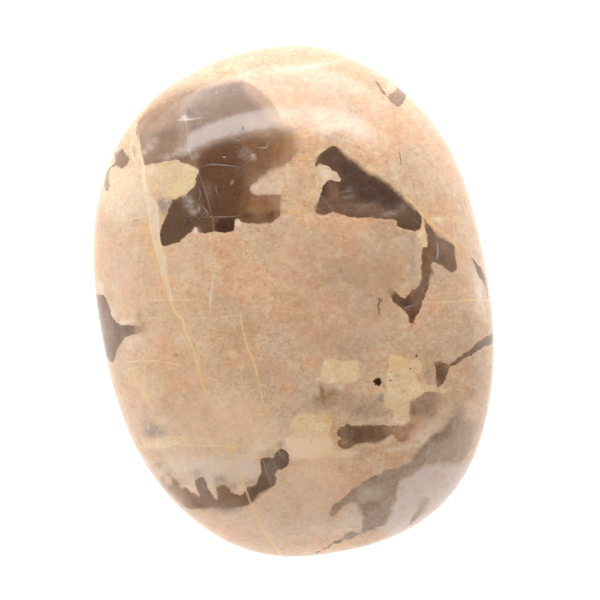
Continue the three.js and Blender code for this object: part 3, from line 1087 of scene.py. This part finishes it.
def markings(points):
    """The mineral markings at each point of the surface, by name."""
    places = plan(points)
    below = RIM_HEIGHT - points[:, 2]
    cloud = wander(points, CLOUD_SIZE)
    under = smoothstep(*UNDER_BLEND, below + UNDER_WAVE * cloud[:, 0])
    under_places = points[:, :2] + UNDER_DRIFT * cloud[:, 1:]

    quartz = np.full(len(points), -FAR)
    smoke = np.full(len(points), USUAL_SMOKE)
    for name, outline in QUARTZ.items():
        grain = depth_inside(places, [on_stone(outline)])
        smoke = np.where(grain > quartz, GRAIN_SMOKE[name], smoke)
        quartz = np.maximum(quartz, grain)
    for stroke in QUARTZ_STROKES:
        side, half_width = nearest_stroke(places, [stroke])
        quartz = np.maximum(quartz, half_width - np.abs(side))
    cream = depth_inside(places, [on_stone(outline) for outline in CREAM.values()])

    fields = {}
    for name in SPOTS | AREAS:
        spots = spotted(places, SPOTS.get(name, [])) + shaded(places, AREAS.get(name, []))
        fields[name] = spots * (1 - under)
    fields["quartz_soft"] += USUAL_SOFTNESS
    fields["smoke"] += smoke * (1 - under) + (USUAL_SMOKE + UNDER_SMOKE_RANGE * cloud[:, 2]) * under
    fields["warmth"] += (UNDER_WARMTH + UNDER_WARMTH_RANGE * cloud[:, 1]) * under
    fields["quartz"] = quartz * (1 - under) + depth_inside(under_places, UNDER_QUARTZ) * under
    fields["cream"] = cream * (1 - under) + depth_inside(under_places, UNDER_CREAM) * under
    for name, strokes in LINES.items():
        side, half_width = nearest_stroke(places, strokes)
        if name not in DEEP_LINES:
            half_width *= 1 - smoothstep(0, HAIR_DEPTH, below)
        fields[name + "_side"] = side
        fields[name + "_width"] = half_width * (1 - smoothstep(*LINE_REACH, np.abs(side)))
    fields["pit"] = hollow(points)[0]
    return fields


def refine_pits(bm):
    """Cuts the surface finer around the small hollows."""
    for cut in PIT_CUTS:
        points = coordinates(bm)
        places = plan(points)
        close = np.zeros(len(points), bool)
        for middle, radius, _ in PITS:
            gap = np.linalg.norm(places - on_stone([middle])[0], axis=1)
            close |= (gap < radius + PIT_REACH * cut) & (points[:, 2] > RIM_HEIGHT)
        bm.verts.index_update()
        edges = [e for e in bm.edges if close[e.verts[0].index] and close[e.verts[1].index]]
        bmesh.ops.subdivide_edges(bm, edges=edges, cuts=1, use_grid_fill=True)


# Materials


def add(tree, kind, inputs=None, **settings):
    """Adds a shader node with its settings. An input is given a value, a socket or a node's first output."""
    made = tree.nodes.new("ShaderNode" + kind)
    for name, value in settings.items():
        setattr(made, name, value)
    for name, value in (inputs or {}).items():
        socket = made.inputs[name] if isinstance(name, int) else next(
            s for s in made.inputs if s.name == name and s.enabled
        )
        if isinstance(value, bpy.types.Node):
            value = next(s for s in value.outputs if s.enabled)
        if isinstance(value, bpy.types.NodeSocket):
            tree.links.new(value, socket)
        else:
            socket.default_value = value
    return made


def blank_tree(owner):
    """The node tree of a new material or world, with nothing in it."""
    owner.use_nodes = True
    owner.node_tree.nodes.clear()
    return owner.node_tree


def per(size):
    """The scale of a pattern whose features are this many millimetres across."""
    return 1 / (size * MM)


def painted(tree, base, layers, blend="MIX"):
    """Lays colours over a base, each by its amount."""
    colour = base
    for over, amount in layers:
        colour = add(
            tree,
            "Mix",
            {"Factor": amount, "A": colour, "B": over},
            data_type="RGBA",
            blend_type=blend,
            clamp_factor=True,
        )
    return colour


def clouded(tree, place, base, clouds):
    """Lays clouds of colour over a base, each where its own noise is high."""
    layers = []
    for seed, (over, most, size, stretch, low, high) in enumerate(clouds):
        along = add(
            tree,
            "Mapping",
            {"Vector": place, "Rotation": (0, 0, -LEAN), "Scale": (stretch, 1, stretch)},
            vector_type="TEXTURE",
        )
        height = add(
            tree,
            "TexNoise",
            {"Vector": along, "W": seed, "Scale": per(size), "Detail": 3.0, "Roughness": 0.6},
            noise_dimensions="4D",
        )
        amount = add(tree, "MapRange", {"Value": height, "From Min": low, "From Max": high, "To Max": most})
        layers.append((linear(over), amount))
    return painted(tree, base, layers)


STAIN_BREAKS = (0.36, 0.64)  # the noise at which a stain is faintest and fullest


def stained(tree, place, base, stains, blend="MIX"):
    """Lays stains over a base. Each lies where its own attribute says, and noise breaks it up."""
    layers = []
    for seed, (name, (over, most, size, evenness)) in enumerate(stains.items()):
        height = add(
            tree,
            "TexNoise",
            {"Vector": place, "W": 0.5 + seed, "Scale": per(size), "Detail": 4.0, "Roughness": 0.65},
            noise_dimensions="4D",
        )
        share = add(
            tree,
            "MapRange",
            {
                "Value": height,
                "From Min": STAIN_BREAKS[0],
                "From Max": STAIN_BREAKS[1],
                "To Min": evenness,
                "To Max": 2 - evenness,
            },
        )
        there = add(tree, "Attribute", attribute_name=name).outputs["Fac"]
        strength = add(tree, "Math", {0: there, 1: share}, operation="MULTIPLY", use_clamp=True)
        amount = add(tree, "Math", {0: strength, 1: most}, operation="MULTIPLY")
        layers.append((linear(over), amount))
    return painted(tree, base, layers, blend)


SPECK_CORE = 0.55  # the share of a speck's radius inside which it has its full colour


def specks(tree, place, spacing, radius, share):
    """Small round specks, set about the spacing apart, in a share of the places for one."""
    cell = add(tree, "TexVoronoi", {"Vector": place, "Scale": per(spacing)})
    edge = radius / spacing
    spot = add(
        tree,
        "MapRange",
        {"Value": cell.outputs["Distance"], "From Min": edge, "From Max": edge * SPECK_CORE},
    )
    drawn = add(tree, "Math", {0: cell.outputs["Color"], 1: share}, operation="LESS_THAN")
    return add(tree, "Math", {0: spot, 1: drawn}, operation="MULTIPLY")


# The lines' colours, and how much of each shows
LINE_PAINTS = {
    "cream_vein": ("#e0cca6", 0.65),
    "cream_edge": ("#e0ceaa", 0.6),
    "ochre_vein": ("#e1b97c", 0.85),
    "cross_vein": ("#e6cb98", 0.7),
    "pale_hair": ("#cfc0ae", 0.26),
    # the scratches' pale colour is a painted glint of light
    "scratch_glint": ("#dad2d0", 0.5),
    "crack": ("#4a3a31", 0.9),
}
LINE_RAGGEDNESS = 0.45  # how much a line's width varies, as a share of it
LINE_EDGE = (-0.1, 0.06)  # how far inside its edge a line starts to show and is full, in millimetres
LINE_FADE = 0.05  # the half width in millimetres under which a line grows fainter


def line_mask(tree, name, ragged, patchy, most):
    """The lines of a group: uneven in width, and fading in and out along their length."""
    width = add(tree, "Attribute", attribute_name=name + "_width").outputs["Fac"]
    side = add(tree, "Attribute", attribute_name=name + "_side").outputs["Fac"]
    distance = add(tree, "Math", {0: side}, operation="ABSOLUTE")
    thickness = add(tree, "Math", {0: ragged, 1: LINE_RAGGEDNESS, 2: 1.0}, operation="MULTIPLY_ADD")
    half = add(tree, "Math", {0: width, 1: thickness}, operation="MULTIPLY")
    inside = add(tree, "Math", {0: half, 1: distance}, operation="SUBTRACT")
    mask = add(
        tree,
        "MapRange",
        {"Value": inside, "From Min": LINE_EDGE[0], "From Max": LINE_EDGE[1]},
        interpolation_type="SMOOTHSTEP",
    )
    there = add(tree, "MapRange", {"Value": width, "From Max": LINE_FADE, "To Max": most})
    drawn = add(tree, "Math", {0: mask, 1: there}, operation="MULTIPLY")
    fading = add(tree, "MapRange", {"Value": patchy, "From Min": -0.7, "From Max": 0.5, "To Min": 0.35})
    return add(tree, "Math", {0: drawn, 1: fading}, operation="MULTIPLY")


# Clouds in the feldspar: colour, most of it that shows, size in mm, how many times longer than that
# along the cleavage, and the noise at which it starts and is full. The cleavage is really finer than
# 0.1 mm, which is drawn coarser so that it shows.
FELDSPAR_CLOUDS = [
    ("#d39c78", 0.60, 6.0, 1.0, 0.46, 0.60),  # pink patches
    ("#b68d62", 0.50, 3.2, 1.2, 0.48, 0.64),  # tan patches
    ("#d8bf9e", 0.45, 2.2, 1.2, 0.50, 0.66),  # cream patches
    ("#a07a54", 0.45, 0.8, 0.9, 0.50, 0.70),  # mottling
    ("#dec6a6", 0.32, 0.4, 2.0, 0.50, 0.66),  # cleavage lines
    ("#e3cbac", 0.40, 0.3, 1.0, 0.54, 0.70),  # sugary grain
    ("#8f6440", 0.75, 0.3, 1.0, 0.58, 0.72),  # iron stained grain
]

# Clouds in the blocks of cream feldspar
CREAM_CLOUDS = [
    ("#e0a873", 0.70, 2.0, 1.0, 0.48, 0.64),  # peach patches
    ("#ecdcbd", 0.75, 1.1, 1.0, 0.50, 0.66),  # whitish patches
    ("#c29c72", 0.50, 0.5, 1.2, 0.52, 0.68),  # mottling
    ("#a08059", 0.60, 0.3, 1.0, 0.60, 0.72),  # iron stained grain
    ("#f4e4c4", 0.40, 0.3, 1.0, 0.54, 0.70),  # sugary grain
]

# Stains in the feldspar, with a painted reflection and painted highlights among them: colour, most of it
# that shows, size of the grain that breaks it up in mm, and how even it is
FELDSPAR_STAINS = {
    "dusk": ("#9f8268", 0.55, 1.2, 0.6),
    "fair": ("#e8c6a6", 0.60, 2.2, 0.5),
    "creamy": ("#cfb98e", 0.85, 0.5, 0.1),
    # the veil also paints the reflection on the lower right shoulder
    "veiled_and_reflection": ("#cab8ae", 0.80, 0.9, 0.35),
    # pale also paints two highlights on the lamp's band
    "pale": ("#e2d5c0", 0.75, 0.8, 0.5),
    "blush": ("#dcab90", 0.55, 1.2, 0.5),
    "ashen": ("#8b7a6e", 0.80, 0.5, 0.3),
    "ochre": ("#dcaa70", 0.80, 0.6, 0.4),
    "umber": ("#8a6b45", 0.85, 0.4, 0.4),
}


def feldspar_colour(tree, place, cream):
    """Alkali feldspar: pinkish beige, clouded, with cleavage lines, a sugary grain and iron stains.

    It is cream in places, and has painted highlights and a painted reflection.
    """
    clouds = clouded(tree, place, linear("#c3a388"), FELDSPAR_CLOUDS)
    blocks = clouded(tree, place, linear("#dfc29a"), CREAM_CLOUDS)
    ground = painted(tree, clouds, [(blocks, cream)])
    return painted(
        tree,
        stained(tree, place, ground, FELDSPAR_STAINS),
        [
            (linear("#8f6c4c"), specks(tree, place, 1.3, 0.12, 0.2)),
            (linear("#efe6da"), specks(tree, place, 1.9, 0.1, 0.25)),
        ],
    )


# The colour of the quartz as it gets smokier, and the smoke at which each colour starts and is full
GLASS = [
    ("#8e7058", 0.0, 0.25),
    ("#6a4f3d", 0.25, 0.5),
    ("#4e3a31", 0.5, 0.75),
    ("#33241d", 0.75, 1.1),
]
# Amber tints the quartz as a filter does; cloudy white veils, some painted highlights, lean in it as the
# grains do
AMBER = {"warmth": ("#f5cfa0", 1.0, 0.9, 0.7)}
MILK_AND_HIGHLIGHT = {"milk_and_highlight": ("#b8a89c", 0.75, 0.4, 0.35)}
VEIL_LEAN = math.radians(35)  # of the veils, from the photograph's horizontal
VEIL_STRETCH = 1.6  # how many times longer than wide their grain is
CRAZING_SIZE = 2.6  # millimetres from one hair of the crazing to the next
CRAZING_EDGE = (0.02, 0.004)  # where a hair starts to show and is full, as shares of that
CRAZING_STRENGTH = 0.12  # the most of a hair that shows


def quartz_colour(tree, place, patchy, uneven, ragged):
    """Smoky quartz: clear and brown, darker where it is deep, with hairs, specks and cloudy white veils,
    some of which are painted highlights.
    """
    tone = add(tree, "Attribute", attribute_name="smoke").outputs["Fac"]
    for variation, amount in ((patchy, 0.05), (uneven, 0.06), (ragged, 0.06)):
        tone = add(tree, "Math", {0: variation, 1: amount, 2: tone}, operation="MULTIPLY_ADD")
    glass = painted(
        tree,
        linear("#b8a08c"),
        [
            (linear(colour), add(tree, "MapRange", {"Value": tone, "From Min": start, "From Max": full}))
            for colour, start, full in GLASS
        ],
    )
    amber = stained(tree, place, glass, AMBER, blend="MULTIPLY")
    along_veils = add(
        tree,
        "Mapping",
        {"Vector": place, "Rotation": (0, 0, VEIL_LEAN - LEAN), "Scale": (VEIL_STRETCH, 1, VEIL_STRETCH)},
        vector_type="TEXTURE",
    )
    milky_and_highlit = stained(tree, along_veils, amber, MILK_AND_HIGHLIGHT)
    crazing = add(
        tree, "TexVoronoi", {"Vector": place, "Scale": per(CRAZING_SIZE)}, feature="DISTANCE_TO_EDGE"
    )
    shown = add(
        tree, "MapRange", {"Value": patchy, "From Min": -0.1, "From Max": 0.6, "To Max": CRAZING_STRENGTH}
    )
    hair = add(
        tree,
        "MapRange",
        {
            "Value": crazing.outputs["Distance"],
            "From Min": CRAZING_EDGE[0],
            "From Max": CRAZING_EDGE[1],
            "To Max": shown,
        },
    )
    return painted(
        tree,
        milky_and_highlit,
        [
            (linear("#b5a69a"), hair),
            (linear("#d8cfc6"), specks(tree, place, 0.7, 0.06, 0.2)),
        ],
    )


RAGGED, UNEVEN, PATCHY = 0.4, 0.9, 2.0  # sizes in millimetres of the noise that roughens the markings
QUARTZ_EDGE = (-0.4, 1.6)  # where a grain starts to show and is full, in softnesses of its edge
CREAM_EDGE = (-0.14, 0.18)  # the same for a block of cream feldspar, in millimetres
FELDSPAR_ROUGHNESS = 0.18
QUARTZ_ROUGHNESS = 0.1  # it is harder, so it takes a better polish
STONE_IOR = 1.53  # between feldspar and quartz
RIPPLE = 0.0012  # millimetres, the unevenness that the polishing left


def roughening(tree, place):
    """The ragged, the uneven and the patchy noise, each from -1 to 1."""
    return [
        add(
            tree,
            "MapRange",
            {
                "Value": add(
                    tree,
                    "TexNoise",
                    {"Vector": place, "W": 3.0, "Scale": per(size), "Detail": 3.0},
                    noise_dimensions="4D",
                ),
                "From Min": 0.25,
                "From Max": 0.75,
                "To Min": -1.0,
            },
        )
        for size in (RAGGED, UNEVEN, PATCHY)
    ]


def roughened(tree, name, noises):
    """How deep inside a marking each place lies, with noises added so that its edge is uneven."""
    depth = add(tree, "Attribute", attribute_name=name).outputs["Fac"]
    for height, amount in noises:
        depth = add(tree, "Math", {0: height, 1: amount, 2: depth}, operation="MULTIPLY_ADD")
    return depth


def quartz_mask(tree, ragged, uneven):
    """Where the quartz shows. Its edge is soft where it thins out, and thin quartz never hides all."""
    softness = add(tree, "Attribute", attribute_name="quartz_soft").outputs["Fac"]
    start, full = (add(tree, "Math", {0: softness, 1: edge}, operation="MULTIPLY") for edge in QUARTZ_EDGE)
    thin = add(tree, "Attribute", attribute_name="thin").outputs["Fac"]
    thickness = add(tree, "Math", {0: 1.0, 1: thin}, operation="SUBTRACT", use_clamp=True)
    return add(
        tree,
        "MapRange",
        {
            "Value": roughened(tree, "quartz", ((ragged, 0.09), (uneven, 0.14))),
            "From Min": start,
            "From Max": full,
            "To Max": thickness,
        },
        interpolation_type="SMOOTHSTEP",
    )


def cream_mask(tree, ragged, uneven, patchy):
    """Where the feldspar is cream: in blocks with uneven edges, fuller in some patches than in others."""
    return add(
        tree,
        "MapRange",
        {
            "Value": roughened(tree, "cream", ((ragged, 0.12), (uneven, 0.2))),
            "From Min": CREAM_EDGE[0],
            "From Max": CREAM_EDGE[1],
            "To Max": add(
                tree, "MapRange", {"Value": patchy, "From Min": -0.9, "To Min": 0.45, "To Max": 0.9}
            ),
        },
        interpolation_type="SMOOTHSTEP",
    )


def polished_stone():
    """Feldspar and quartz ground flush and polished: glassy, the quartz a little more than the feldspar."""
    material = bpy.data.materials.new("polished feldspar with smoky quartz")
    tree = blank_tree(material)
    place = add(tree, "TexCoord").outputs["Object"]
    ragged, uneven, patchy = roughening(tree, place)
    quartz = quartz_mask(tree, ragged, uneven)
    cream = cream_mask(tree, ragged, uneven, patchy)
    lines = [
        (linear(line_colour), line_mask(tree, name, ragged, patchy, most))
        for name, (line_colour, most) in LINE_PAINTS.items()
    ]
    pit = add(tree, "Attribute", attribute_name="pit").outputs["Fac"]
    colour = painted(
        tree,
        feldspar_colour(tree, place, cream),
        [
            (quartz_colour(tree, place, patchy, uneven, ragged), quartz),
            *lines,
            (linear("#3b2114"), add(tree, "MapRange", {"Value": pit, "From Max": 0.5})),
        ],
    )
    roughness = add(
        tree,
        "MapRange",
        {"Value": quartz, "To Min": FELDSPAR_ROUGHNESS, "To Max": QUARTZ_ROUGHNESS},
    )
    ripple = add(tree, "Bump", {"Height": ragged, "Distance": RIPPLE * MM})
    shader = add(
        tree,
        "BsdfPrincipled",
        {"Base Color": colour, "Roughness": roughness, "IOR": STONE_IOR, "Normal": ripple},
    )
    add(tree, "OutputMaterial", {"Surface": shader})
    return material


def object_from(bm, name, material):
    """A new object at the origin with the shape of a bmesh, which is used up."""
    mesh = bpy.data.meshes.new(name)
    bm.to_mesh(mesh)
    bm.free()
    mesh.materials.append(material)
    made = bpy.data.objects.new(name, mesh)
    bpy.context.scene.collection.objects.link(made)
    return made


def pebble():
    """The stone, in place of its plain model."""
    bm = stone_bmesh()
    refine_pits(bm)
    points = coordinates(bm)
    fields = markings(points)
    points[:, 2] -= hollow(points)[1]
    for vert, point in zip(bm.verts, points):
        vert.co = point
    bmesh.ops.scale(bm, vec=(MM, MM, MM), verts=bm.verts)
    piece = object_from(bm, "polished_pebble", polished_stone())
    piece.data.shade_smooth()
    for name, values in fields.items():
        attribute = piece.data.attributes.new(name, "FLOAT", "POINT")
        attribute.data.foreach_set("value", values.astype(np.float32))
    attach(piece, "root")
    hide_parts("pebble")


# Studio


FLOOR_RADIUS = 3  # metres
FLOOR_SIDES = 96


def acrylic_sheet():
    """White opal acrylic, cast and matt: it hardly shines, and glows evenly with a lamp behind it."""
    material = bpy.data.materials.new("white acrylic sheet")
    tree = blank_tree(material)
    shader = add(
        tree,
        "BsdfPrincipled",
        {
            "Base Color": linear("#f4f3f1"),
            "Roughness": 0.9,
            "Specular IOR Level": 0.1,
            "Emission Color": linear("#ffffff"),
            "Emission Strength": 0.55,
        },
    )
    add(tree, "OutputMaterial", {"Surface": shader})
    return material


def studio_floor():
    """A pale sheet lit through from below, as on a light table."""
    bm = bmesh.new()
    bmesh.ops.create_circle(bm, cap_ends=True, segments=FLOOR_SIDES, radius=FLOOR_RADIUS)
    object_from(bm, "floor", acrylic_sheet())


# The light from each wall of the studio, by where the wall is from the photograph's upright, in degrees
WALLS = {0: 3.8, 90: 0.6, 180: 2.2, 270: 1.9}
WALL_NARROWNESS = 2.0  # exponent of how a wall's light falls off to its sides
WALL_TOP = (0.2, 0.8)  # sines of the heights at which the walls start to darken and are dark


def studio_world():
    """White walls all round, some nearer to the light, and a dark ceiling."""
    world = bpy.data.worlds.new("studio")
    tree = blank_tree(world)
    heading = add(tree, "TexCoord").outputs["Generated"]
    height = add(tree, "SeparateXYZ", {"Vector": heading}).outputs["Z"]
    strength = 0.0
    for turn, brightness in WALLS.items():
        angle = math.radians(90 - turn) - LEAN
        wall = (math.cos(angle), math.sin(angle), 0)
        towards = add(tree, "VectorMath", {0: heading, 1: wall}, operation="DOT_PRODUCT").outputs["Value"]
        ahead = add(tree, "Math", {0: towards, 1: 0.0}, operation="MAXIMUM")
        lobe = add(tree, "Math", {0: ahead, 1: WALL_NARROWNESS}, operation="POWER")
        strength = add(tree, "Math", {0: lobe, 1: brightness, 2: strength}, operation="MULTIPLY_ADD")
    low = add(
        tree,
        "MapRange",
        {
            "Value": height,
            "From Min": WALL_TOP[0],
            "From Max": WALL_TOP[1],
            "To Min": 1.0,
            "To Max": 0.0,
        },
        interpolation_type="SMOOTHSTEP",
    )
    strength = add(tree, "Math", {0: strength, 1: low}, operation="MULTIPLY")
    background = add(tree, "Background", {"Color": linear("#ffffff"), "Strength": strength})
    add(tree, "OutputWorld", {"Surface": background})
    bpy.context.scene.world = world


def softbox(name, tilt, turn, distance, size, radiance, roll=0, mirrored=True):
    """An oblong lamp aimed at the stone: tilt from overhead, turned from the photograph's upright.

    Angles are in degrees, distance and size in metres. One that isn't mirrored lights the stone but
    doesn't show in its polish.
    """
    lamp = bpy.data.lights.new(name, "AREA")
    lamp.shape = "RECTANGLE"
    lamp.size, lamp.size_y = size
    lamp.energy = radiance * math.pi * size[0] * size[1]
    box = bpy.data.objects.new(name, lamp)
    tilt, heading = math.radians(tilt), math.radians(90 - turn) - LEAN
    away = Vector(
        (math.sin(tilt) * math.cos(heading), math.sin(tilt) * math.sin(heading), math.cos(tilt))
    )
    box.location = away * distance + Vector((0, 0, RIM_HEIGHT * MM))
    rolled = Quaternion((0, 0, 1), math.radians(roll))
    box.rotation_euler = (away.to_track_quat("Z", "Y") @ rolled).to_euler()
    box.visible_camera = False
    box.visible_glossy = mirrored
    bpy.context.scene.collection.objects.link(box)


def camera():
    """Straight over the stone, turned so that the stone leans as in the photograph."""
    lens = bpy.data.cameras.new("camera")
    lens.sensor_width = SENSOR
    lens.lens = SENSOR * CAMERA_HEIGHT * PX_PER_MM / PHOTO_SIDE
    lens.clip_start = CLIP_START * MM
    eye = bpy.data.objects.new("camera", lens)
    x, y = camera_foot()
    eye.location = (x * MM, y * MM, (RIM_HEIGHT + CAMERA_HEIGHT) * MM)
    eye.rotation_euler = (0, 0, -LEAN)
    bpy.context.scene.collection.objects.link(eye)
    bpy.context.scene.camera = eye


camera()
studio_world()
studio_floor()
softbox("overhead", tilt=62, turn=0, distance=0.45, size=(0.62, 0.42), radiance=1.85)
softbox("overhead edge", tilt=45.5, turn=0, distance=0.45, size=(0.5, 0.075), radiance=6.8, roll=3.5)
softbox("low fill", tilt=54, turn=180, distance=0.6, size=(0.6, 0.3), radiance=1.85, mirrored=False)
pebble()
bpy.context.scene.view_settings.view_transform = "Standard"
